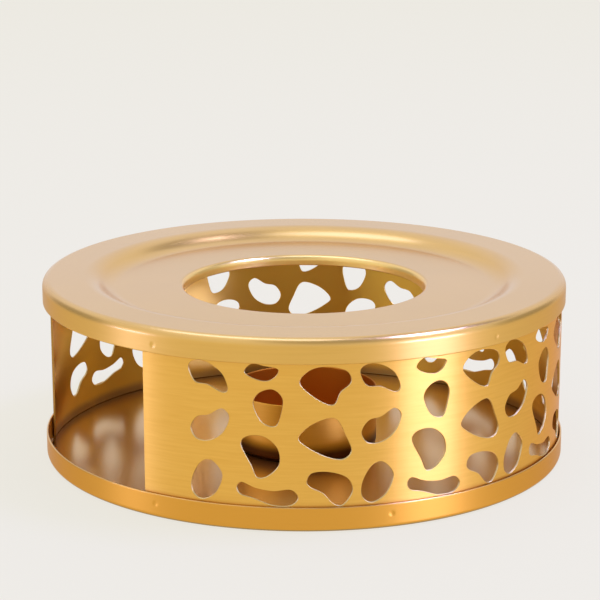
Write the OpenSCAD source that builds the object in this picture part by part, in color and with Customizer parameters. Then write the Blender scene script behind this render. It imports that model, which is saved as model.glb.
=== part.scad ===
// Teapot warmer: a perforated ring of sheet steel between a drawn plate and a
// drawn pan, open on one side so that a loose candle cup can be put in.
// Millimetres. The origin is at the middle of the underside, +Z is up and the
// candle door faces -Y.

/* [Body] */
// Outside diameter of the top plate and of the base pan
body_d = 133; // [110:1:170]
// Height from the table to the top of the plate
body_h = 46; // [38:1:70]
// Thickness of the sheet of the plate, the wall and the pan
sheet_t = 0.5; // [0.4:0.05:0.8]
// Gap between the wall and the skirt and rim that go round it
fit_gap = 0.3; // [0.1:0.05:0.5]
// Gap between the edges of the wall and the sheet that they face
edge_gap = 0.1; // [0.05:0.05:0.5]

/* [Top plate] */
// Height of the skirt that turns down round the wall
skirt_h = 6; // [4:0.5:9]
// Outside radius of the shoulder between the plate and its skirt
shoulder_r = 2; // [1.2:0.1:3]
// Diameter of the flat seat for the teapot
seat_d = 95; // [80:1:104]
// Depth of the seat below the land round it
seat_depth = 3; // [1:0.25:4]
// Width of the curved step between the land and the seat
step_w = 8.5; // [6:0.5:9]
// Diameter of the heat hole in the middle of the seat
heat_hole_d = 61; // [44:1:70]
// Outside radius of the roll round the heat hole
lip_r = 1.5; // [1:0.1:2.5]
// Depth of the lip below the seat
lip_h = 2.7; // [1.6:0.1:4]

/* [Base pan] */
// Height of the rim that the wall stands in
rim_h = 6; // [4:0.5:9]
// Outside radius of the bend between the floor and the rim
base_bend_r = 1.2; // [1:0.1:3]

/* [Side wall] */
// Width of the candle door, straight across
door_w = 64; // [48:1:80]
// Plain length of the strip before the first holes
start_margin = 12.5; // [8:0.5:20]
// Plain length of the strip after the last holes
end_margin = 13.5; // [8:0.5:20]
// Number of times that the pattern of holes repeats along the strip
pattern_repeats = 8; // [6:1:9]

/* [Candle cup] */
// Outside diameter of the cup
cup_d = 37.6; // [36:0.2:42]
// Height of the cup
cup_h = 15; // [10:0.5:20]
// Thickness of the cup's sheet
cup_t = 0.4; // [0.3:0.05:0.6]
// Outside radius of the bend round the cup's bottom
cup_bend_r = 1.5; // [0.8:0.1:3]

/* [Spot welds] */
// Number of welds between the skirt and the wall
top_welds = 5; // [4:1:9]
// Number of welds between the base rim and the wall
base_welds = 7; // [4:1:9]
// Diameter of a weld
weld_d = 2.6; // [1.5:0.1:3]
// Length of the strip between each end and the nearest weld
weld_inset = 3.5; // [3:0.5:8]
// Diameter of the dent that the welding tip leaves
dent_d = 1.8; // [1:0.1:3]
// Depth of that dent
dent_depth = 0.1; // [0.05:0.05:0.3]

/* [Hidden] */
$fa = 3;
$fs = 0.3;
gold = [0.85, 0.66, 0.32];
pale_gold = [0.87, 0.74, 0.62];
orange_gold = [0.84, 0.60, 0.26];
weld_grey = [0.55, 0.47, 0.36];

body_r = body_d / 2;
hug_r = body_r - sheet_t;
wall_ro = hug_r - fit_gap;
wall_ri = wall_ro - sheet_t;

// How far the inside of a bend stands off the flat sheet, at the wall's outer face
function bend_rise(r_out) =
    let (r_in = r_out - sheet_t)
    fit_gap >= r_in ? 0 : r_in - sqrt(r_in * r_in - pow(r_in - fit_gap, 2));

wall_lo = sheet_t + bend_rise(base_bend_r) + edge_gap;
wall_hi = body_h - sheet_t - bend_rise(shoulder_r) - edge_gap;

// The strip runs from one door post round to the other
door_half_angle = asin(door_w / 2 / wall_ro);
strip_start = door_half_angle - 90;
strip_angle = 360 - 2 * door_half_angle;
strip_len = strip_angle * PI / 180 * wall_ro;
function angle_at(u) = strip_start + u / wall_ro * 180 / PI;

seat_r = seat_d / 2;
seat_z = body_h - seat_depth;
land_r = seat_r + step_w;
heat_hole_r = heat_hole_d / 2;

// The step is two equal arcs. These are their angle and the radius halfway
// through the sheet, and the line of the step some depth below the upper face.
step_angle = 2 * atan(seat_depth / step_w);
step_r = step_w / 2 / sin(step_angle);
step_facets = 8;
function step_line(depth) =
    let (off = sheet_t / 2 - depth)
    concat(
        [
            for (i = [0 : step_facets])
                let (a = step_angle * i / step_facets)
                [land_r, body_h - sheet_t / 2 - step_r] + (step_r + off) * [-sin(a), cos(a)]
        ],
        [
            for (i = [step_facets - 1 : -1 : 0])
                let (a = step_angle * i / step_facets)
                [seat_r, seat_z - sheet_t / 2 + step_r] + (step_r - off) * [sin(a), -cos(a)]
        ]
    );
function reversed(list) = [for (i = [len(list) - 1 : -1 : 0]) list[i]];

top_weld_z = body_h - (shoulder_r + skirt_h) / 2;
base_weld_z = (base_bend_r + rim_h) / 2;
dent_r = (pow(dent_d / 2, 2) + pow(dent_depth, 2)) / 2 / dent_depth;

// The pebbles of one repeat, drawn on a flat piece of the strip that is as high
// as the open band between the rims. Each is a closed curve through its points.
pebble_tile = [40, 34];
pebbles = [
    [[0, 32], [1.8, 33.6], [5, 33.2], [8.2, 31], [9.5, 27.6], [8.2, 26.6], [4.8, 28.1], [1.5, 28.6]],
    [[0.4, 17.5], [2, 20.2], [5, 21], [8, 22.7], [9.8, 20.8], [8.2, 17], [5, 14.9], [1.8, 15]],
    [[5, 10.2], [7.3, 8.4], [8, 6], [6.2, 2.2], [3, 0.5], [0.7, 2], [0.6, 5.3], [2.5, 9]],
    [[13.5, 32], [15.3, 33.8], [18, 33.4], [21.2, 32.7], [20.4, 30.8], [18.2, 29.8], [15, 30.6]],
    [[15.5, 24.3], [16.9, 27], [20, 27.9], [22.2, 25.8], [21.8, 22], [20.5, 19.2], [17.4, 20.2]],
    [[12.6, 14.5], [14.2, 16.6], [18, 16.6], [21, 14], [21.4, 10.2], [19, 7.4], [16.4, 6.8], [15, 9.6]],
    [[11.6, 4.2], [12.8, 5.5], [16, 4.3], [20, 3.7], [24, 4.1],
        [25.7, 2.2], [24, 0.3], [20, 0.2], [15.5, 1.7], [12.5, 2.5]],
    [[26.2, 29.5], [28.5, 32.5], [32.5, 33.3], [36.8, 32.2], [37.8, 29.5], [35.4, 27.2], [33.8, 24.3], [30, 25.8]],
    [[25.9, 16.5], [28.5, 19.4], [32.5, 21.1], [34.8, 20.6], [36.5, 17.3],
        [38, 13.3], [36, 11.3], [32, 12.1], [27.8, 14.4]],
    [[27.8, 6], [29, 8.1], [33, 8.3], [37, 6.8], [38.3, 3.6], [36.2, 0.4], [34, 0.6], [31.5, 3.2], [28.8, 4.6]]
];
curve_steps = 3;
punch_reach = 3;
band_h = body_h - skirt_h - rim_h;
tile_pitch = (strip_len - start_margin - end_margin) / pattern_repeats;
tile_scale = [tile_pitch / pebble_tile[0], band_h / pebble_tile[1]];

function mean(points) = [for (axis = [0, 1]) [for (p = points) p[axis]] * [for (p = points) 1] / len(points)];

// A point of the smooth curve from b to c, whose neighbours are a and d
function curve_point(a, b, c, d, t) =
    (2 * b + (c - a) * t + (2 * a - 5 * b + 4 * c - d) * t * t + (3 * b - a - 3 * c + d) * t * t * t) / 2;

function closed_curve(points) =
    let (n = len(points))
    [
        for (i = [0 : n - 1], k = [0 : curve_steps - 1])
            curve_point(points[(i + n - 1) % n], points[i], points[(i + 1) % n], points[(i + 2) % n], k / curve_steps)
    ];

// A bend of sheet: part of a ring, between two angles at most 90 degrees apart
module bend(centre, r_out, t, from, to) {
    reach = 2 * r_out;
    translate(centre)
    intersection() {
        difference() {
            circle(r_out);
            circle(r_out - t);
        }
        polygon([[0, 0], for (a = [from, (from + to) / 2, to]) reach * [cos(a), sin(a)]]);
    }
}

// A flat of sheet in a profile, between two opposite corners
module flat(low, high) {
    translate(low) square(high - low);
}

// Places its child on the cylinder of the wall, with the child's Z pointing outwards
module on_wall(u, z, r) {
    rotate([0, 0, angle_at(u)]) translate([r, 0, z]) rotate([90, 0, 90]) children();
}

module at_welds(count, z, r) {
    for (i = [0 : count - 1])
        on_wall(weld_inset + i * (strip_len - 2 * weld_inset) / (count - 1), z, r) children();
}

module weld_dents(count, z) {
    at_welds(count, z, body_r - dent_depth + dent_r) sphere(dent_r);
}

// Discs of weld metal that fill the gap between the wall and the sheet round it
module welds(count, z) {
    intersection() {
        rotate_extrude() flat([wall_ro, z - weld_d], [hug_r, z + weld_d]);
        at_welds(count, z, wall_ri) cylinder(d = weld_d, h = 2 * (body_r - wall_ri));
    }
}

module top_profile() {
    flat([hug_r, body_h - skirt_h], [body_r, body_h - shoulder_r]);
    bend([body_r - shoulder_r, body_h - shoulder_r], shoulder_r, sheet_t, 0, 90);
    flat([land_r, body_h - sheet_t], [body_r - shoulder_r, body_h]);
    polygon(concat(step_line(0), reversed(step_line(sheet_t))));
    flat([heat_hole_r + lip_r, seat_z - sheet_t], [seat_r, seat_z]);
    bend([heat_hole_r + lip_r, seat_z - lip_r], lip_r, sheet_t, 90, 180);
    flat([heat_hole_r, seat_z - lip_h], [heat_hole_r + sheet_t, seat_z - lip_r]);
}

module base_profile() {
    flat([0, 0], [body_r - base_bend_r, sheet_t]);
    bend([body_r - base_bend_r, base_bend_r], base_bend_r, sheet_t, 270, 360);
    flat([hug_r, base_bend_r], [body_r, rim_h]);
}

module cup_profile() {
    cup_r = cup_d / 2;
    flat([0, 0], [cup_r - cup_bend_r, cup_t]);
    bend([cup_r - cup_bend_r, cup_bend_r], cup_bend_r, cup_t, 270, 360);
    flat([cup_r - cup_t, cup_bend_r], [cup_r, cup_h]);
}

// One pebble, punched through the wall
module pebble_hole(points, repeat) {
    drawn = [for (p = points) [p[0] * tile_scale[0], p[1] * tile_scale[1]]];
    middle = mean(drawn);
    on_wall(start_margin + repeat * tile_pitch + middle[0], rim_h + middle[1], wall_ri - punch_reach)
    linear_extrude(2 * punch_reach)
    polygon([for (p = closed_curve(drawn)) p - middle]);
}

module base_pan() {
    color(orange_gold)
    difference() {
        rotate_extrude() base_profile();
        weld_dents(base_welds, base_weld_z);
    }
}

module side_wall() {
    color(gold)
    difference() {
        rotate_extrude(angle = strip_angle, start = strip_start) flat([wall_ri, wall_lo], [wall_ro, wall_hi]);
        for (repeat = [0 : pattern_repeats - 1], points = pebbles) pebble_hole(points, repeat);
    }
}

module top_plate() {
    color(pale_gold)
    difference() {
        rotate_extrude() top_profile();
        weld_dents(top_welds, top_weld_z);
    }
}

module base_spot_welds() {
    color(weld_grey) welds(base_welds, base_weld_z);
}

module top_spot_welds() {
    color(weld_grey) welds(top_welds, top_weld_z);
}

module candle_cup() {
    color(gold) translate([0, 0, sheet_t]) rotate_extrude() cup_profile();
}

base_pan();
side_wall();
top_plate();
base_spot_welds();
top_spot_welds();
candle_cup();
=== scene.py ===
# %% [markdown]
# # A perforated teapot warmer
# A warmer keeps a pot of tea hot over a small candle. This one is made of three
# pressings of thin gold-coloured steel: a pan, a punched ring and a dished plate.
# They are spot-welded together, and a loose cup for the candle stands inside.
# The CAD model is the frame of this lesson. It is loaded first and never moved,
# and everything made here is in metres and lies where the CAD piece lies: the
# origin is under the middle of the pan, Z is up and the candle door faces -Y.

import math

import bpy
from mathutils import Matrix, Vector


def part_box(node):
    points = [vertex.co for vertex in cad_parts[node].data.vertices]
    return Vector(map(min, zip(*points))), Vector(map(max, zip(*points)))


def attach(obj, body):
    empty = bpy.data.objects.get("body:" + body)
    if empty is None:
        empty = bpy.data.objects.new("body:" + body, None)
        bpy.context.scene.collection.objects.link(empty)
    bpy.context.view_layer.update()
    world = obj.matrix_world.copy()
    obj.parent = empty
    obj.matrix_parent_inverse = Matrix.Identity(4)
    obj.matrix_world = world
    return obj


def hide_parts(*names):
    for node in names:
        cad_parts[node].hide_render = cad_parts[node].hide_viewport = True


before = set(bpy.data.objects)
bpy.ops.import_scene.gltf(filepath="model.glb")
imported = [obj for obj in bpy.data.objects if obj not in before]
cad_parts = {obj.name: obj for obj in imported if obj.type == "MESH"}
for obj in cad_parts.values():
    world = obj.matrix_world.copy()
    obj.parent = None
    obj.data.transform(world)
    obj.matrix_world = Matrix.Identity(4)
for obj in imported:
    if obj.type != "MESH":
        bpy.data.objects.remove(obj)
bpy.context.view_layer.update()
print("nodes:", sorted(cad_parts))

# %% [markdown]
# ## The sizes that the pieces share
# The three pressings are cut from one sheet and fit into each other, so they
# share a few sizes. They are the sizes of the CAD model.

# %% Shared sizes
MM = 0.001
sheet_t = 0.5 * MM
fit_gap = 0.3 * MM
body_r = 66.5 * MM
body_h = 46 * MM
skirt_h = 6 * MM
rim_h = 6 * MM
wall_r = body_r - sheet_t - fit_gap
door_w = 64 * MM
door_half_angle = math.asin(door_w / 2 / wall_r)
strip_start = door_half_angle - math.pi / 2
strip_len = (2 * math.pi - 2 * door_half_angle) * wall_r

# %% [markdown]
# ## The camera
# The photograph is taken from a little above with a long lens, from the right of
# the candle door. The camera is made early, so that each piece can be looked at
# from there as soon as it exists. The distance and the lens were fitted to the
# ellipses of the rims: a near camera opens the front ones more than the far ones.

# %% Camera
VIEW_AZIMUTH = math.radians(63.7)
VIEW_PITCH = math.radians(14.18)
VIEW_YAW = math.radians(0.118)
VIEW_DISTANCE = 506.1 * MM
VIEW_HEIGHT = 166.2 * MM
SENSOR_WIDTH = 36
FOCAL_LENGTH = 122.1
NEAREST_SEEN = 10 * MM
camera = bpy.data.objects.new("camera", bpy.data.cameras.new("camera"))
camera.data.sensor_width = SENSOR_WIDTH
camera.data.lens = FOCAL_LENGTH
camera.data.clip_start = NEAREST_SEEN
camera.location = (
    VIEW_DISTANCE * math.sin(VIEW_AZIMUTH),
    -VIEW_DISTANCE * math.cos(VIEW_AZIMUTH),
    VIEW_HEIGHT,
)
camera.rotation_euler = (math.pi / 2 - VIEW_PITCH, 0, VIEW_AZIMUTH + VIEW_YAW)
bpy.context.scene.collection.objects.link(camera)
bpy.context.scene.camera = camera
print("camera at", [round(c, 3) for c in camera.location])

# %% [markdown]
# ## Node trees as expressions
# Materials and Geometry Nodes are both trees of nodes. Placing the nodes one by
# one hides the sum that they stand for, so this class wraps a socket: an
# expression on wrapped sockets adds the Math nodes that work it out. Any other
# node comes from one method, which sets the node's own settings before its sockets.

# %% A socket in an expression
class Wire:
    """A socket of a node tree that can be used in sums."""

    def __init__(self, socket):
        self.socket = socket
        self.tree = socket.id_data

    @staticmethod
    def find(sockets, name):
        """A socket by its number, its identifier or its name."""
        if isinstance(name, int):
            return sockets[name]
        return next((s for s in sockets if s.identifier == name), None) or sockets[name]

    @staticmethod
    def node(tree, kind, settings=None, inputs=None):
        """Adds a node and gives back its first output."""
        made = tree.nodes.new(kind)
        for name, value in (settings or {}).items():
            setattr(made, name, value)
        for name, value in (inputs or {}).items():
            socket = Wire.find(made.inputs, name)
            for one in value if isinstance(value, list) else [value]:
                if isinstance(one, Wire):
                    tree.links.new(one.socket, socket)
                else:
                    socket.default_value = one
        return Wire(made.outputs[0]) if made.outputs else made

    @staticmethod
    def sum_of(tree, operation, *terms):
        return Wire.node(tree, "ShaderNodeMath", {"operation": operation}, dict(enumerate(terms)))

    def out(self, name):
        """Another output of the node that this one belongs to."""
        return Wire(Wire.find(self.socket.node.outputs, name))

    def math(self, operation, *terms):
        return Wire.sum_of(self.tree, operation, self, *terms)

    def __add__(self, other):
        return self.math("ADD", other)

    __radd__ = __add__

    def __sub__(self, other):
        return self.math("SUBTRACT", other)

    def __rsub__(self, other):
        return Wire.sum_of(self.tree, "SUBTRACT", other, self)

    def __mul__(self, other):
        return self.math("MULTIPLY", other)

    __rmul__ = __mul__

    def __truediv__(self, other):
        return self.math("DIVIDE", other)

    def __rtruediv__(self, other):
        return Wire.sum_of(self.tree, "DIVIDE", other, self)

    def __gt__(self, other):
        return self.math("GREATER_THAN", other)

    def __lt__(self, other):
        return self.math("LESS_THAN", other)


print("sums on sockets: + - * / > <")

# %% [markdown]
# ## Gold-coloured steel
# The steel is plated, so its colour sits in its reflections: it is all metal, and
# what it mirrors decides how light it looks. A thin clear lacquer over the plating
# turns pale at a flat angle. It lies thickest on what faces up, which is why the
# top of the warmer looks much paler than its wall. The sheet was brushed, and the
# fine lines scatter light across them. They are a noise that is drawn out along the
# lines, in Object coordinates, because a picture of brushed metal would show a seam.

# %% Helpers for places and lines
def empty_tree(material):
    material.use_nodes = True
    material.node_tree.nodes.clear()
    return material.node_tree


def lines_of(tree, along, across, detail=2.0):
    """Noise in Object coordinates, with its grain drawn out sideways where along is small."""
    where = Wire.node(tree, "ShaderNodeTexCoord").out("Object")
    scaled = Wire.node(
        tree, "ShaderNodeMapping", None, {"Vector": where, "Scale": (along, along, across)}
    )
    return Wire.node(
        tree, "ShaderNodeTexNoise", None, {"Vector": scaled, "Scale": 1.0, "Detail": detail}
    )


def axes_of(tree, vector):
    split = Wire.node(tree, "ShaderNodeSeparateXYZ", None, {"Vector": vector})
    return split, split.out("Y"), split.out("Z")


def spot_of(tree):
    """The place of a point and the normal of its face, each as x, y and z."""
    spot = Wire.node(tree, "ShaderNodeTexCoord")
    return axes_of(tree, spot.out("Object")), axes_of(tree, spot.out("Normal"))


def off_axis(x, y):
    """The distance from the Z axis."""
    return (x * x + y * y).math("SQRT")


print("places and lines come from Object coordinates")

# %% Helpers for colours and the shader
GOLD = (0.88, 0.53, 0.12, 1)
GOLD_DEEP = (0.74, 0.42, 0.085, 1)


def tinted(tree, mask, dark, light):
    """A colour between two, where the mask says."""
    mix = Wire.node(
        tree,
        "ShaderNodeMix",
        {"data_type": "RGBA"},
        {"Factor_Float": mask, "A_Color": dark, "B_Color": light},
    )
    return mix.out("Result_Color")


def rising(tree, value, start, end):
    """0 up to the start, 1 from the end on, and smooth between."""
    return Wire.node(
        tree,
        "ShaderNodeMapRange",
        {"interpolation_type": "SMOOTHSTEP"},
        {"Value": value, "From Min": start, "From Max": end},
    )


def bumped(tree, height, distance, strength):
    return Wire.node(
        tree, "ShaderNodeBump", None, {"Height": height, "Distance": distance, "Strength": strength}
    )


def plated(tree, colour, roughness, normal, extras):
    inputs = {"Base Color": colour, "Metallic": 1.0, "Roughness": roughness, "Normal": normal}
    shader = Wire.node(tree, "ShaderNodeBsdfPrincipled", None, inputs | extras)
    Wire.node(tree, "ShaderNodeOutputMaterial", None, {"Surface": shader})


print("gold", GOLD[:3], "deep gold", GOLD_DEEP[:3])

# %% [markdown]
# ### The brushed wall
# The strip was brushed along its length, and its tone changes with the lines and in
# wide soft patches. Its inner face is a little smoother and is painted darker towards
# its foot, as painted shade where the wall stands in the pan. The cut edges of the
# holes are rougher, and where they face up they are painted pale as a painted
# highlight; below and at the door posts they stay plain. One material does all of it
# from the place of a point and the way its face looks, so no face has to be picked.

# %% Brushed gold for the wall
WALL_DARK = (0.79, 0.395, 0.05, 1)
WALL_LIGHT = (0.99, 0.58, 0.108, 1)
INSIDE_GOLD = (0.86, 0.57, 0.095, 1)
INSIDE_FOOT_SHADE = (0.46, 0.29, 0.10, 1)
PAINTED_HIGHLIGHT_GOLD = (1.0, 0.82, 0.40, 1)
FACES_OUT = 0.95
FACES_IN = -0.5
BEHIND_POSTS = -54 * MM
WALL_ROUGHNESS = 0.33
INSIDE_SMOOTHER = 0.08
EDGE_ROUGHER = 0.3
brushed = bpy.data.materials.new("gold_brushed_steel")
tree = empty_tree(brushed)
lines = lines_of(tree, along=100, across=2000, detail=4.0)
patches = lines_of(tree, along=40, across=40)
(x, y, level), (nx, ny, nz) = spot_of(tree)
outward = (x * nx + y * ny) / off_axis(x, y)
face = tinted(tree, lines * 0.7 + patches * 0.3, WALL_DARK, WALL_LIGHT)
# painted shade: the inner face darkens towards its foot, where the wall stands in the pan
above_foot_shade = rising(tree, level, start=1.5 * MM, end=4 * MM)
inside = tinted(tree, above_foot_shade, INSIDE_FOOT_SHADE, INSIDE_GOLD)
face = tinted(tree, outward > FACES_IN, inside, face)
# painted highlight: cut edges are painted pale where they face up, but not at the door posts
painted_edge_highlight = (y > BEHIND_POSTS) * rising(tree, nz, start=-0.25, end=0.3)
edge = tinted(tree, painted_edge_highlight, GOLD_DEEP, PAINTED_HIGHLIGHT_GOLD)
cut_edge = (outward < FACES_OUT) * (outward > FACES_IN)
dullness = WALL_ROUGHNESS - (outward < FACES_IN) * INSIDE_SMOOTHER + cut_edge * EDGE_ROUGHER
plated(
    tree,
    tinted(tree, cut_edge, face, edge),
    dullness + lines * 0.06 + patches * 0.04,
    bumped(tree, lines, distance=0.006 * MM, strength=0.4),
    {
        "Anisotropic": 0.85,
        "Anisotropic Rotation": 0.25,
        "Specular Tint": (0.85, 0.6, 0.5, 1),
        "Coat Weight": 0.1,
        "Coat Roughness": 0.25,
        "Coat IOR": 2.2,
    },
)
print("made", brushed.name, len(tree.nodes), "nodes")

# %% [markdown]
# ### The satin plate and pan
# The plate and the pan are pressed from one satin sheet. The lacquer's weight is the
# upward part of the normal, so it is thick on the flats and thin on the skirt. The
# pan's rim is painted a deeper gold, a painted reflection of the warm light that the
# warmer throws on the floor beside it. The edge of the pan's floor is painted dark as
# painted shade where the wall stands on it, and the lip round the heat hole is
# painted bright as a painted highlight.

# %% Satin gold for the plate and the pan
RIM_REFLECTION_GOLD = (0.78, 0.37, 0.04, 1)
FLOOR_EDGE_SHADE = (0.44, 0.29, 0.10, 1)
LIP_HIGHLIGHT_GOLD = (1.0, 0.66, 0.19, 1)
LIP_REACH = 32 * MM
LIP_TILT = 0.9
STEEP = 0.5
SATIN_ROUGHNESS = 0.34
FLATS_SMOOTHER = 0.17
THIN_LACQUER = 0.1
satin = bpy.data.materials.new("gold_satin_steel")
tree = empty_tree(satin)
lines = lines_of(tree, along=60, across=1800, detail=4.0)
grain = lines_of(tree, along=2600, across=2600)
patches = lines_of(tree, along=35, across=35)
(x, y, level), (_, _, upward) = spot_of(tree)
flat = upward.math("ABSOLUTE")
from_axis = off_axis(x, y)
face = tinted(tree, lines * 0.6 + patches * 0.4, GOLD_DEEP, GOLD)
# painted reflection: the rim is painted a deeper gold for the warm light off the floor beside it
pan_rim = (level < body_h / 2) * (flat < STEEP)
face = tinted(tree, pan_rim, face, RIM_REFLECTION_GOLD)
pan_floor = (level < rim_h / 2) * (flat > STEEP)
# painted shade: the pan's floor darkens towards its edge, where the wall stands on it
floor_edge_shade = rising(tree, from_axis, start=62 * MM, end=64.5 * MM) * pan_floor
face = tinted(tree, floor_edge_shade, face, FLOOR_EDGE_SHADE)
# painted highlight: the lip round the heat hole is painted bright
lip = (from_axis < LIP_REACH) * (level > body_h / 2) * (flat < LIP_TILT)
face = tinted(tree, lip, face, LIP_HIGHLIGHT_GOLD)
plated(
    tree,
    face,
    SATIN_ROUGHNESS - flat * FLATS_SMOOTHER + lines * 0.05 + grain * 0.03 + patches * 0.04,
    bumped(tree, grain * 0.3 + lines * 0.7, distance=0.003 * MM, strength=0.4),
    {
        "Anisotropic": 0.7,
        "Anisotropic Rotation": 0.25,
        "Specular Tint": (0.8, 0.65, 0.55, 1),
        "Coat Weight": upward.math("MAXIMUM", THIN_LACQUER),
        "Coat Roughness": 0.2,
        "Coat IOR": 2.2,
    },
)
print("made", satin.name, len(tree.nodes), "nodes")

# %% [markdown]
# ### The candle cup's metal
# The cup was drawn from thin sheet, which leaves fine lines round it. Its foot is
# painted dark, as painted shade for the shadowed floor that it mirrors, and its inner
# face is painted a darker red gold, as painted shade inside the cup.

# %% Bright gold for the cup
CUP_DARK = (0.75, 0.37, 0.036, 1)
CUP_LIGHT = (0.88, 0.47, 0.056, 1)
CUP_FOOT_SHADE = (0.10, 0.033, 0.008, 1)
CUP_INSIDE_SHADE = (0.66, 0.25, 0.025, 1)
CUP_OUTSIDE_FROM = 0.3
CUP_ROUGHNESS = 0.42
bright = bpy.data.materials.new("gold_cup_steel")
tree = empty_tree(bright)
lines = lines_of(tree, along=120, across=3000)
patches = lines_of(tree, along=90, across=90)
(x, y, level), (nx, ny, _) = spot_of(tree)
# painted shade: the inner face, outside this mask, is painted a darker red gold
outer = (x * nx + y * ny) / off_axis(x, y) > CUP_OUTSIDE_FROM
# painted shade: the foot is painted dark for the shade there and the dark floor that it mirrors
cup_foot_shade = 1 - rising(tree, level, start=2.5 * MM, end=6 * MM)
face = tinted(tree, lines * 0.5 + patches * 0.5, CUP_DARK, CUP_LIGHT)
face = tinted(tree, cup_foot_shade, face, CUP_FOOT_SHADE)
plated(
    tree,
    tinted(tree, outer, CUP_INSIDE_SHADE, face),
    CUP_ROUGHNESS + lines * 0.05 + patches * 0.04,
    bumped(tree, lines, distance=0.004 * MM, strength=0.4),
    {"Anisotropic": 0.3, "Anisotropic Rotation": 0.25},
)
print("made", bright.name, len(tree.nodes), "nodes")

# %% [markdown]
# ### Weld metal
# A weld nugget is bare metal that has melted and set again: dark, dull and speckled.

# %% Weld metal
WELD_DARK = (0.12, 0.09, 0.06, 1)
WELD_LIGHT = (0.36, 0.27, 0.17, 1)
WELD_ROUGHNESS = 0.35
weld_metal = bpy.data.materials.new("weld_metal")
tree = empty_tree(weld_metal)
speckle = lines_of(tree, along=3500, across=3500, detail=3.0)
plated(
    tree,
    tinted(tree, speckle, WELD_DARK, WELD_LIGHT),
    WELD_ROUGHNESS + speckle * 0.3,
    bumped(tree, speckle, distance=0.03 * MM, strength=0.6),
    {},
)
print("made", weld_metal.name, len(tree.nodes), "nodes")

# %% [markdown]
# ## Sheet metal as runs and bends
# A press works on flat sheet, and its drawing says how far the sheet runs and how
# tightly it bends. The same words make the sections here: a list of runs and bends
# is walked like a road, halfway through the sheet, and the two faces lie half a
# thickness to each side. Each step knows its heading, so the faces stay parallel.
# A plain disc would have no bends, and thickness added later would blur them.

# %% Walk a section
BEND_STEP = math.radians(6)
HOLD = 0.12 * MM
half_t = sheet_t / 2


def run_stops(length, pieces):
    """Where a run has its points. Close ones at both ends keep the bends from shading it."""
    inner = [HOLD + (length - 2 * HOLD) * i / pieces for i in range(pieces + 1)]
    return [*inner, length] if length > 3 * HOLD else [length]


def walk(start, heading, moves):
    """The middle line of a sheet as (r, z, heading).

    A move is a run with its length and number of pieces, or a bend with its angle and radius.
    """
    r, z = start
    line = [(r, z, heading)]
    for kind, amount, detail in moves:
        if kind == "run":
            line += [
                (r + s * math.cos(heading), z + s * math.sin(heading), heading)
                for s in run_stops(amount, detail)
            ]
        else:
            steps = math.ceil(abs(amount) / BEND_STEP)
            turn = amount / steps
            chord = 2 * detail * math.sin(abs(turn) / 2)
            for _ in range(steps):
                r += chord * math.cos(heading + turn / 2)
                z += chord * math.sin(heading + turn / 2)
                heading += turn
                line.append((r, z, heading))
        r, z, heading = line[-1]
    return line


print(f"bends turn {math.degrees(BEND_STEP):.1f} degrees a step")

# %% Close a section
EDGE_STEPS = 6


def beside(point, angle, thickness):
    """The point half a thickness from the middle line, at an angle from its heading."""
    r, z, heading = point
    return (
        r + thickness / 2 * math.cos(heading + angle),
        z + thickness / 2 * math.sin(heading + angle),
    )


def section(line, thickness):
    """The closed outline of a sheet, with its cut edges rounded as deburred edges are."""
    quarter = math.pi / 2
    outline = [beside(p, -quarter, thickness) for p in line]
    for i in range(1, EDGE_STEPS):
        outline.append(beside(line[-1], -quarter + math.pi * i / EDGE_STEPS, thickness))
    outline += [beside(p, quarter, thickness) for p in reversed(line)]
    if line[0][0] > thickness:
        for i in range(1, EDGE_STEPS):
            outline.append(beside(line[0], quarter + math.pi * i / EDGE_STEPS, thickness))
    return outline


print("cut edges are rounded in", EDGE_STEPS, "facets")

# %% Revolve a section
ON_AXIS = 0.0001 * MM


def add_piece(name, mesh):
    piece = bpy.data.objects.new(name, mesh)
    bpy.context.scene.collection.objects.link(piece)
    return piece


def revolve(name, outline, angles):
    """A closed solid of revolution. A point on the axis becomes a single pole."""
    points = []
    rings = []
    for r, z in outline:
        count = 1 if r < ON_AXIS else len(angles)
        first = len(points)
        rings.append([first + (j if count > 1 else 0) for j in range(len(angles))])
        points += [(r * math.cos(a), r * math.sin(a), z) for a in angles[:count]]
    faces = []
    for i, ring in enumerate(rings):
        following = rings[(i + 1) % len(rings)]
        for j in range(len(angles)):
            k = (j + 1) % len(angles)
            corners = list(dict.fromkeys([ring[j], ring[k], following[k], following[j]]))
            if len(corners) > 2:
                faces.append(corners)
    mesh = bpy.data.meshes.new(name)
    mesh.from_pydata(points, [], faces)
    mesh.shade_smooth()
    return add_piece(name, mesh)


print("a point nearer the axis than", ON_AXIS, "m becomes a pole")

# %% [markdown]
# ## Where the welds are
# The plate and the pan are welded to the wall at a few spots. The electrode leaves
# a shallow round dent at each, on the outside of the skirt and of the rim. The
# spots are spread evenly along the wall from door post to door post. A dent needs
# small faces, and the rest of the ring doesn't, so the revolve gets close angles
# at the dents only.

# %% Weld places
weld_inset = 3.5 * MM
dent_d = 1.8 * MM
dent_depth = 0.1 * MM
TOP_WELDS = 5
BASE_WELDS = 7
EVEN_ANGLES = 288
DENT_COLUMNS = 17
CLOSE_REACH = 0.65
CLEARED_REACH = 1.2


def weld_angles(count):
    pitch = (strip_len - 2 * weld_inset) / (count - 1)
    return [strip_start + (weld_inset + i * pitch) / wall_r for i in range(count)]


def ring_angles(count):
    """Even angles round the ring, and close ones across each weld dent."""
    reach = CLOSE_REACH * dent_d / body_r
    even = [2 * math.pi * i / EVEN_ANGLES for i in range(EVEN_ANGLES)]
    cleared = CLEARED_REACH * reach
    centres = [w % (2 * math.pi) for w in weld_angles(count)]
    kept = [a for a in even if all(abs(a - w) > cleared for w in centres)]
    close = [
        w + reach * (2 * j / (DENT_COLUMNS - 1) - 1) for w in centres for j in range(DENT_COLUMNS)
    ]
    return sorted(kept + close)


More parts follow.
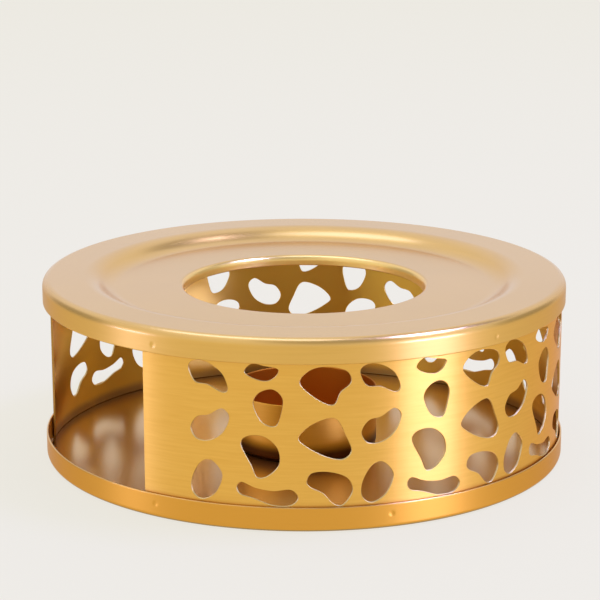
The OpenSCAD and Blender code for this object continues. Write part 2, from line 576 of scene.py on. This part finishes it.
print("weld angles on the skirt:", [round(math.degrees(a)) for a in weld_angles(TOP_WELDS)])

# %% [markdown]
# ## The dents as a node tree
# A dent is the print of a round electrode, deepest in the middle and soft at its
# edge, where a cap cut from a ball would leave a crease. The tree puts a point at
# each weld, asks every vertex how far the nearest one is and presses the outer
# face in by the depth there. It serves the plate and the pan, so what differs
# between them is an input.

# %% Helpers for geometry trees
def geometry_tree(name, sizes, counts):
    """A tree with a socket for the mesh, named sockets for its sizes and counts, and the finish."""
    made = bpy.data.node_groups.new(name, "GeometryNodeTree")
    kinds = {"Geometry": "NodeSocketGeometry"}
    kinds |= {label: "NodeSocketFloat" for label in sizes}
    kinds |= {label: "NodeSocketInt" for label in counts}
    kinds["Finish"] = "NodeSocketMaterial"
    for label, kind in kinds.items():
        made.interface.new_socket(label, in_out="INPUT", socket_type=kind)
    made.interface.new_socket("Geometry", in_out="OUTPUT", socket_type="NodeSocketGeometry")
    return made, Wire.node(made, "NodeGroupInput")


def end_tree(made, mesh, finish):
    """What every tree ends in: real geometry with its finish."""
    whole = Wire.node(made, "GeometryNodeRealizeInstances", None, {"Geometry": mesh})
    done = Wire.node(made, "GeometryNodeSetMaterial", None, {"Geometry": whole, "Material": finish})
    Wire.node(made, "NodeGroupOutput", None, {"Geometry": done})


def grow(name, source, tree, values):
    """Runs a tree on an object and gives back a piece with the result as a plain mesh."""
    modifier = source.modifiers.new("tree", "NODES")
    modifier.node_group = tree
    for socket in tree.interface.items_tree:
        if socket.in_out == "INPUT" and socket.name in values:
            modifier[socket.identifier] = values[socket.name]
    evaluated = source.evaluated_get(bpy.context.evaluated_depsgraph_get())
    mesh = bpy.data.meshes.new_from_object(evaluated)
    source.modifiers.remove(modifier)
    drawn = source.data
    bpy.data.objects.remove(source)
    bpy.data.meshes.remove(drawn)
    mesh.name = name
    return add_piece(name, mesh)


def xyz(tree, x, y, z):
    return Wire.node(tree, "ShaderNodeCombineXYZ", None, {"X": x, "Y": y, "Z": z})


def place(tree):
    """The x, y and z of each vertex."""
    split = Wire.node(
        tree, "ShaderNodeSeparateXYZ", None, {"Vector": Wire.node(tree, "GeometryNodeInputPosition")}
    )
    return split, split.out("Y"), split.out("Z")


def wrapped(tree, angle, radius, height):
    """A point of a cylinder about the Z axis."""
    return xyz(tree, angle.math("COSINE") * radius, angle.math("SINE") * radius, height)


print("geometry helpers are ready")

# %% The dent tree
AXIS_GUARD = 1 * MM
dent_tree, given = geometry_tree(
    "weld_dents",
    ["Ring Radius", "Height", "First Angle", "Last Angle", "Dent Diameter", "Dent Depth",
     "Thickness"],
    ["Welds"],
)
radius = given.out("Ring Radius")
span = (given.out("Last Angle") - given.out("First Angle")) / (given.out("Welds") - 1)
spots = Wire.node(
    dent_tree,
    "GeometryNodeMeshLine",
    {"mode": "OFFSET"},
    {
        "Count": given.out("Welds"),
        "Start Location": xyz(dent_tree, given.out("First Angle"), 0.0, 0.0),
        "Offset": xyz(dent_tree, span, 0.0, 0.0),
    },
)
spot_angle, _, _ = place(dent_tree)
spots = Wire.node(
    dent_tree,
    "GeometryNodeSetPosition",
    None,
    {"Geometry": spots, "Position": wrapped(dent_tree, spot_angle, radius, given.out("Height"))},
)
nearest = Wire.node(
    dent_tree, "GeometryNodeProximity", {"target_element": "POINTS"}, {"Target": spots}
).out("Distance")
away = (nearest / given.out("Dent Diameter") * 2).math("MINIMUM", 1.0)
soft_cap = (1 - away * away).math("POWER", 2.0)
print_depth = soft_cap * given.out("Dent Depth")
x, y, _ = place(dent_tree)
from_axis = off_axis(x, y)
outside = from_axis > radius - given.out("Thickness") / 2
shift = print_depth * outside * -1 / from_axis.math("MAXIMUM", AXIS_GUARD)
pressed = Wire.node(
    dent_tree,
    "GeometryNodeSetPosition",
    None,
    {"Geometry": given, "Offset": xyz(dent_tree, x * shift, y * shift, 0.0)},
)
end_tree(dent_tree, pressed, given.out("Finish"))
print("dent tree:", len(dent_tree.nodes), "nodes")

# %% Press the dents of a ring
def with_dents(name, source, count, height, finish):
    angles = weld_angles(count)
    return grow(
        name,
        source,
        dent_tree,
        {
            "Ring Radius": body_r,
            "Height": height,
            "First Angle": angles[0],
            "Last Angle": angles[-1],
            "Dent Diameter": dent_d,
            "Dent Depth": dent_depth,
            "Thickness": sheet_t,
            "Welds": count,
            "Finish": finish,
        },
    )


print(f"a dent is {dent_d / MM:.1f} mm across and {dent_depth / MM:.1f} mm deep")

# %% [markdown]
# ## The dished plate
# The teapot stands on this plate. From its outer edge the sheet goes up the skirt,
# round the shoulder, over a flat land, down a soft S-shaped step to the seat, and
# rolls down at the heat hole. It replaces the CAD solid, which has the same section
# with fewer facets, and it needs its many small ones for clean reflections.

# %% Plate
shoulder_r = 2 * MM
seat_r = 47.5 * MM
seat_depth = 3 * MM
step_w = 8.5 * MM
heat_hole_r = 30.5 * MM
lip_r = 1.5 * MM
lip_h = 2.7 * MM
step_angle = 2 * math.atan(seat_depth / step_w)
step_r = step_w / 2 / math.sin(step_angle)
plate_line = walk(
    (body_r - half_t, body_h - skirt_h + half_t),
    math.pi / 2,
    [
        ("run", skirt_h - shoulder_r - half_t, 20),
        ("bend", math.pi / 2, shoulder_r - half_t),
        ("run", body_r - shoulder_r - seat_r - step_w, 2),
        ("bend", step_angle, step_r),
        ("bend", -step_angle, step_r),
        ("run", seat_r - heat_hole_r - lip_r, 3),
        ("bend", math.pi / 2, lip_r - half_t),
        ("run", lip_h - lip_r - half_t, 1),
    ],
)
plate = with_dents(
    "dished_plate",
    revolve("plate_blank", section(plate_line, sheet_t), ring_angles(TOP_WELDS)),
    TOP_WELDS,
    body_h - (shoulder_r + skirt_h) / 2,
    satin,
)
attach(plate, "warmer")
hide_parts("top_plate")
print(plate.name, len(plate.data.polygons), "faces")
print("the lip ends at z", round(plate_line[-1][1] / MM, 2), "mm")

# %% [markdown]
# ## The pan
# The pan is the floor of the warmer and the foot that it stands on. Its rim turns
# up round the foot of the wall. It is walked from the middle outwards, so its
# section starts on the axis and the revolve closes it there with a pole.

# %% Pan
base_bend_r = 1.2 * MM
pan_line = walk(
    (0, half_t),
    0,
    [
        ("run", body_r - base_bend_r, 6),
        ("bend", math.pi / 2, base_bend_r - half_t),
        ("run", rim_h - base_bend_r - half_t, 24),
    ],
)
pan = with_dents(
    "base_pan_pressing",
    revolve("pan_blank", section(pan_line, sheet_t), ring_angles(BASE_WELDS)),
    BASE_WELDS,
    (base_bend_r + rim_h) / 2,
    satin,
)
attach(pan, "warmer")
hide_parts("base_pan")
print(pan.name, len(pan.data.polygons), "faces")

# %% [markdown]
# ## The candle cup
# A drawn cup, as wide as a tealight, stands loose on the floor of the pan. It rides
# on its own body, because it can be taken out through the door.

# %% Cup
cup_r = 18.8 * MM
cup_h = 15 * MM
cup_t = 0.4 * MM
cup_bend_r = 1.5 * MM
CUP_ANGLES = 144
cup_line = walk(
    (0, sheet_t + cup_t / 2),
    0,
    [
        ("run", cup_r - cup_bend_r, 3),
        ("bend", math.pi / 2, cup_bend_r - cup_t / 2),
        ("run", cup_h - cup_bend_r - cup_t / 2, 4),
    ],
)
cup = revolve(
    "drawn_candle_cup",
    section(cup_line, cup_t),
    [2 * math.pi * i / CUP_ANGLES for i in range(CUP_ANGLES)],
)
cup.data.materials.append(bright)
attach(cup, "cup")
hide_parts("candle_cup")
print(cup.name, len(cup.data.polygons), "faces")

# %% [markdown]
# ## The punched wall
# This is the piece that makes the warmer: a strip punched with pebble-shaped holes
# and rolled to an open ring, and it is made in that order here. Ten pebbles are
# drawn on a flat tile, the tile is repeated along the strip, the pebbles become
# punches, the punches cut the flat strip and the strip is rolled. Flat cuts are
# clean and quick, and rolling keeps the holes square to the sheet, which cutting
# the finished ring would not. Each punch widens a little at both faces, so that
# the edges of the holes are broken and catch the light as real ones do.

# %% The pebbles of one tile
tile_w = 40 * MM
start_margin = 12.5 * MM
end_margin = 13.5 * MM
PATTERN_REPEATS = 8
tile_pitch = (strip_len - start_margin - end_margin) / PATTERN_REPEATS
PEBBLES = [
    [(0, 32), (1.8, 33.6), (5, 33.2), (8.2, 31), (9.5, 27.6), (8.2, 26.6), (4.8, 28.1), (1.5, 28.6)],
    [(0.4, 17.5), (2, 20.2), (5, 21), (8, 22.7), (9.8, 20.8), (8.2, 17), (5, 14.9), (1.8, 15)],
    [(5, 10.2), (7.3, 8.4), (8, 6), (6.2, 2.2), (3, 0.5), (0.7, 2), (0.6, 5.3), (2.5, 9)],
    [(13.5, 32), (15.3, 33.8), (18, 33.4), (21.2, 32.7), (20.4, 30.8), (18.2, 29.8), (15, 30.6)],
    [(15.5, 24.3), (16.9, 27), (20, 27.9), (22.2, 25.8), (21.8, 22), (20.5, 19.2), (17.4, 20.2)],
    [(12.6, 14.5), (14.2, 16.6), (18, 16.6), (21, 14), (21.4, 10.2), (19, 7.4), (16.4, 6.8), (15, 9.6)],
    [(11.6, 4.2), (12.8, 5.5), (16, 4.3), (20, 3.7), (24, 4.1),
     (25.7, 2.2), (24, 0.3), (20, 0.2), (15.5, 1.7), (12.5, 2.5)],
    [(26.2, 29.5), (28.5, 32.5), (32.5, 33.3), (36.8, 32.2),
     (37.8, 29.5), (35.4, 27.2), (33.8, 24.3), (30, 25.8)],
    [(25.9, 16.5), (28.5, 19.4), (32.5, 21.1), (34.8, 20.6), (36.5, 17.3),
     (38, 13.3), (36, 11.3), (32, 12.1), (27.8, 14.4)],
    [(27.8, 6), (29, 8.1), (33, 8.3), (37, 6.8), (38.3, 3.6),
     (36.2, 0.4), (34, 0.6), (31.5, 3.2), (28.8, 4.6)],
]
points = []
edges = []
for pebble in PEBBLES:
    first = len(points)
    points += [(x * tile_pitch / tile_w * MM, rim_h + y * MM, 0) for x, y in pebble]
    edges += [(first + i, first + (i + 1) % len(pebble)) for i in range(len(pebble))]
drawing = bpy.data.meshes.new("pebble_drawing")
drawing.from_pydata(points, edges, [])
pebble_drawing = add_piece("pebble_drawing", drawing)
print(len(PEBBLES), "pebbles a tile,", PATTERN_REPEATS, "tiles")
print("a tile is", round(tile_pitch / MM, 2), "mm long")

# %% The wall tree: from the drawing to punches
wall_tree, given = geometry_tree(
    "punched_wall",
    ["Length", "Low Edge", "High Edge", "Thickness", "Wall Radius", "Start Angle", "Pitch", "Margin",
     "Edge Break", "Edge Spread"],
    ["Repeats", "Columns", "Curve Steps"],
)
thick = given.out("Thickness")
edge_break = given.out("Edge Break")
spread = given.out("Edge Spread")
curves = Wire.node(wall_tree, "GeometryNodeMeshToCurve", None, {"Mesh": given})
curves = Wire.node(
    wall_tree, "GeometryNodeCurveSplineType", {"spline_type": "CATMULL_ROM"}, {"Curve": curves}
)
curves = Wire.node(
    wall_tree,
    "GeometryNodeSetSplineResolution",
    None,
    {"Geometry": curves, "Resolution": given.out("Curve Steps")},
)
tiles = Wire.node(
    wall_tree,
    "GeometryNodeMeshLine",
    {"mode": "OFFSET"},
    {
        "Count": given.out("Repeats"),
        "Start Location": xyz(wall_tree, given.out("Margin"), 0.0, 0.0),
        "Offset": xyz(wall_tree, given.out("Pitch"), 0.0, 0.0),
    },
)
tiles = Wire.node(wall_tree, "GeometryNodeInstanceOnPoints", None, {"Points": tiles, "Instance": curves})
outlines = Wire.node(wall_tree, "GeometryNodeRealizeInstances", None, {"Geometry": tiles})
outlines = Wire.node(wall_tree, "GeometryNodeFillCurve", {"mode": "NGONS"}, {"Curve": outlines})
outlines = Wire.node(
    wall_tree,
    "GeometryNodeSetPosition",
    None,
    {"Geometry": outlines, "Offset": xyz(wall_tree, 0.0, 0.0, thick * -1 - edge_break)},
)
print("outlines on the flat:", len(wall_tree.nodes), "nodes")

# %% The wall tree: punches with broken edges
MERGE_DISTANCE = 0.001 * MM


def widened(mesh, selection, scale):
    inputs = {"Geometry": mesh, "Scale": scale}
    if selection:
        inputs["Selection"] = selection
    return Wire.node(wall_tree, "GeometryNodeScaleElements", {"domain": "FACE"}, inputs)


def raised(mesh, selection, height):
    inputs = {"Mesh": mesh, "Offset": xyz(wall_tree, 0.0, 0.0, 1.0), "Offset Scale": height}
    if selection:
        inputs["Selection"] = selection
    return Wire.node(wall_tree, "GeometryNodeExtrudeMesh", {"mode": "FACES"}, inputs)


floor_of_punch = widened(outlines, None, spread)
lid = Wire.node(wall_tree, "GeometryNodeFlipFaces", None, {"Mesh": floor_of_punch})
flare = raised(floor_of_punch, None, edge_break * 2)
neck = widened(flare, flare.out("Top"), 1 / spread)
shank = raised(neck, flare.out("Top"), thick - edge_break * 2)
crown = raised(shank, shank.out("Top"), edge_break * 2)
punches = widened(crown, crown.out("Top"), spread)
punches = Wire.node(wall_tree, "GeometryNodeJoinGeometry", None, {"Geometry": [lid, punches]})
punches = Wire.node(
    wall_tree, "GeometryNodeMergeByDistance", None, {"Geometry": punches, "Distance": MERGE_DISTANCE}
)
print("punches:", len(wall_tree.nodes), "nodes")

# %% The wall tree: cut, roll and finish
SHARP_ANGLE = math.radians(30)
height = given.out("High Edge") - given.out("Low Edge")
strip = Wire.node(
    wall_tree,
    "GeometryNodeMeshCube",
    None,
    {
        "Size": xyz(wall_tree, given.out("Length"), height, thick),
        "Vertices X": given.out("Columns"),
        "Vertices Y": 2,
        "Vertices Z": 2,
    },
)
strip = Wire.node(
    wall_tree,
    "GeometryNodeTransform",
    None,
    {
        "Geometry": strip,
        "Translation": xyz(
            wall_tree, given.out("Length") / 2, given.out("Low Edge") + height / 2, thick * -0.5
        ),
    },
)
cut = Wire.node(
    wall_tree,
    "GeometryNodeMeshBoolean",
    {"operation": "DIFFERENCE", "solver": "MANIFOLD"},
    {"Mesh 1": strip, "Mesh 2": punches},
)
along, up, out = place(wall_tree)
radius = given.out("Wall Radius")
turn = along / radius + given.out("Start Angle")
rolled = Wire.node(
    wall_tree,
    "GeometryNodeSetPosition",
    None,
    {"Geometry": cut, "Position": wrapped(wall_tree, turn, radius + out, up)},
)
sharp = Wire.node(wall_tree, "GeometryNodeInputMeshEdgeAngle") > SHARP_ANGLE
smooth = Wire.node(wall_tree, "GeometryNodeSetShadeSmooth", {"domain": "FACE"}, {"Geometry": rolled})
smooth = Wire.node(
    wall_tree,
    "GeometryNodeSetShadeSmooth",
    {"domain": "EDGE"},
    {"Geometry": smooth, "Selection": sharp, "Shade Smooth": False},
)
end_tree(wall_tree, smooth, given.out("Finish"))
print("wall tree:", len(wall_tree.nodes), "nodes")

# %% [markdown]
# ### The sizes of the wall
# The tree now gets its sizes. The height comes from the CAD solid's box. The foot
# goes a tenth of a millimetre lower than the solid's, into the bend of the pan, so
# that the wall stands there as the real one does.

# %% Punch and roll the wall
FOOT_DROP = 0.1 * MM
EDGE_BREAK = 0.11 * MM
EDGE_SPREAD = 1.045
STRIP_COLUMNS = 281
CURVE_STEPS = 7
wall_low, wall_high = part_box("side_wall")
wall = grow(
    "punched_wall",
    pebble_drawing,
    wall_tree,
    {
        "Length": strip_len,
        "Low Edge": wall_low.z - FOOT_DROP,
        "High Edge": wall_high.z,
        "Thickness": sheet_t,
        "Wall Radius": wall_r,
        "Start Angle": strip_start,
        "Pitch": tile_pitch,
        "Margin": start_margin,
        "Edge Break": EDGE_BREAK,
        "Edge Spread": EDGE_SPREAD,
        "Repeats": PATTERN_REPEATS,
        "Columns": STRIP_COLUMNS,
        "Curve Steps": CURVE_STEPS,
        "Finish": brushed,
    },
)
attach(wall, "warmer")
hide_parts("side_wall")
print(wall.name, len(wall.data.polygons), "faces,", len(wall.data.vertices), "vertices")

# %% [markdown]
# ## The welds
# The weld nuggets lie hidden between the wall and the sheets round it. Their CAD
# solids have the right shape, so they stay and only get a finish.

# %% Weld finish
for name in ("base_spot_welds", "top_spot_welds"):
    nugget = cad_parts[name]
    nugget.data.materials.clear()
    nugget.data.materials.append(weld_metal)
    print(name, "gets", weld_metal.name)

# %% [markdown]
# ## The room
# Bright metal shows the room, so the room matters as much as the finish. This room
# is pale, and a few round zones of it are darker, because a room that is equally
# bright all round would make the metal look flat. The camera and the reflections
# see the room itself, and all other rays get an even white fill. A zone is given by
# its side, its elevation and its reach, all in degrees. A side is counted from the
# camera to the right, here and for the lamps.

# %% Directions and rays
CAMERA_SIDE = VIEW_AZIMUTH - math.pi / 2


def towards(side, elevation):
    """A direction from the warmer. Side is in degrees to the right of the camera."""
    a = CAMERA_SIDE + math.radians(side)
    e = math.radians(elevation)
    return Vector((math.cos(a) * math.cos(e), math.sin(a) * math.cos(e), math.sin(e)))


def seen_rays(tree):
    """1 for rays from the camera and for rays in reflections, 0 for the rest."""
    path = Wire.node(tree, "ShaderNodeLightPath")
    seen = path.out("Is Camera Ray").math("MAXIMUM", path.out("Is Glossy Ray"))
    return seen.math("MAXIMUM", path.out("Is Transmission Ray"))


def mixed(tree, factor, first, second):
    return Wire.node(tree, "ShaderNodeMixShader", None, {0: factor, 1: first, 2: second})


print("the camera looks from", [round(c, 2) for c in towards(0, 0)])

# %% World
ROOM = (0.88, 0.885, 0.89, 1)
FILL = 0.85
DUSK = 0.45
DARK_ZONES = [(25, 58, 34), (112, 8, 30), (-115, 8, 30), (124, 58, 25)]
world = bpy.data.worlds.new("pale_room")
bpy.context.scene.world = world
world.use_nodes = True
tree = world.node_tree
tree.nodes.clear()
fill = Wire.node(tree, "ShaderNodeBackground", None, {"Color": (1, 1, 1, 1), "Strength": FILL})
room = Wire.node(tree, "ShaderNodeBackground", None, {"Color": ROOM, "Strength": 1.0})
dusk = Wire.node(tree, "ShaderNodeBackground", None, {"Color": ROOM, "Strength": DUSK})
way = Wire.node(tree, "ShaderNodeTexCoord").out("Generated")


def zone(side, elevation, reach):
    """1 in the middle of a round zone of the room, 0 outside it, and smooth between."""
    near = Wire.node(
        tree,
        "ShaderNodeVectorMath",
        {"operation": "DOT_PRODUCT"},
        {0: way, 1: towards(side, elevation)},
    ).out("Value")
    edge = math.radians(reach)
    return rising(tree, near, start=math.cos(edge), end=math.cos(edge / 2))


shade = zone(*DARK_ZONES[0])
for dark_zone in DARK_ZONES[1:]:
    shade = shade.math("MAXIMUM", zone(*dark_zone))
shown = mixed(tree, shade, room, dusk)
Wire.node(tree, "ShaderNodeOutputWorld", None, {"Surface": mixed(tree, seen_rays(tree), fill, shown)})
print("room in", ROOM[:3], "with", len(DARK_ZONES), "darker zones")

# %% [markdown]
# ## The floor
# Most of what the floor shows to the camera and in reflections is its own pale
# colour, whatever the lamps do. The rest is plain paint, which takes the warmer's
# shadow. It lies a hair under the pan, so that the two faces don't share one place.

# %% Floor
PALE = (0.863, 0.838, 0.765, 1)
SHOWN_SHARE = 0.88
SHOWN_STRENGTH = 0.985
FLOOR_REACH = 4.0
FLOOR_DROP = 0.05 * MM
corners = [(-1, -1), (1, -1), (1, 1), (-1, 1)]
floor_mesh = bpy.data.meshes.new("floor")
floor_mesh.from_pydata(
    [(FLOOR_REACH * x, FLOOR_REACH * y, -FLOOR_DROP) for x, y in corners], [], [(0, 1, 2, 3)]
)
paint = bpy.data.materials.new("floor_paint")
tree = empty_tree(paint)
matt = Wire.node(tree, "ShaderNodeBsdfDiffuse", None, {"Color": PALE})
shown = Wire.node(tree, "ShaderNodeEmission", None, {"Color": PALE, "Strength": SHOWN_STRENGTH})
surface = mixed(tree, seen_rays(tree) * SHOWN_SHARE, matt, shown)
Wire.node(tree, "ShaderNodeOutputMaterial", None, {"Surface": surface})
floor_mesh.materials.append(paint)
floor = add_piece("floor", floor_mesh)
print("floor in", PALE[:3])

# %% [markdown]
# ## The lamps
# Two low strips at the sides give the wall, the rim and the skirt their bright
# bands. They are lower than the top of the plate, which lies flat and would mirror
# a taller lamp. So near the floor they would leave a hot patch there, so they are
# linked to the pieces alone. A high box lights the shoulder and the lip, and a wide
# one hangs over the plate. Gold takes the blue out of what it mirrors, so a lamp has
# to be bluish for its highlight to look white.

# %% Lamps
LAMP_DISTANCE = 1.2
COOL = (0.82, 0.87, 2.6)
FAINTLY_COOL = (0.85, 1.0, 1.6)


def soft_box(name, side, elevation, size, power, colour):
    """A lamp that looks at the middle of the warmer."""
    lamp = bpy.data.lights.new(name, "AREA")
    lamp.shape = "RECTANGLE"
    lamp.size, lamp.size_y = size
    lamp.energy = power
    lamp.color = colour
    way_out = towards(side, elevation)
    stand = bpy.data.objects.new(name, lamp)
    stand.location = way_out * LAMP_DISTANCE + Vector((0, 0, body_h / 2))
    stand.rotation_euler = way_out.to_track_quat("Z", "Y").to_euler()
    bpy.context.scene.collection.objects.link(stand)
    print(name, "at", [round(c, 2) for c in stand.location])
    return stand


def spare_floor(stand, pieces):
    """Lets a lamp light these pieces only."""
    group = bpy.data.collections.new(stand.name + "_pieces")
    for piece in pieces:
        group.objects.link(piece)
    stand.light_linking.receiver_collection = group


left = soft_box("strip_left", side=-75, elevation=0, size=(0.34, 0.038), power=1.2, colour=COOL)
right = soft_box("strip_right", side=53, elevation=0, size=(0.52, 0.038), power=4.2, colour=COOL)
spare_floor(left, [plate, wall, pan, cup])
spare_floor(right, [plate, wall, pan, cup])
soft_box("box_high", side=92, elevation=61, size=(0.4, 0.3), power=4.0, colour=COOL)
soft_box("box_above", side=-120, elevation=79, size=(0.42, 0.9), power=1.5, colour=FAINTLY_COOL)

# %% [markdown]
# ## Colour
# The view transform is Standard, so that a colour renders about as it is written.

# %% Finish
bpy.context.scene.view_settings.view_transform = "Standard"
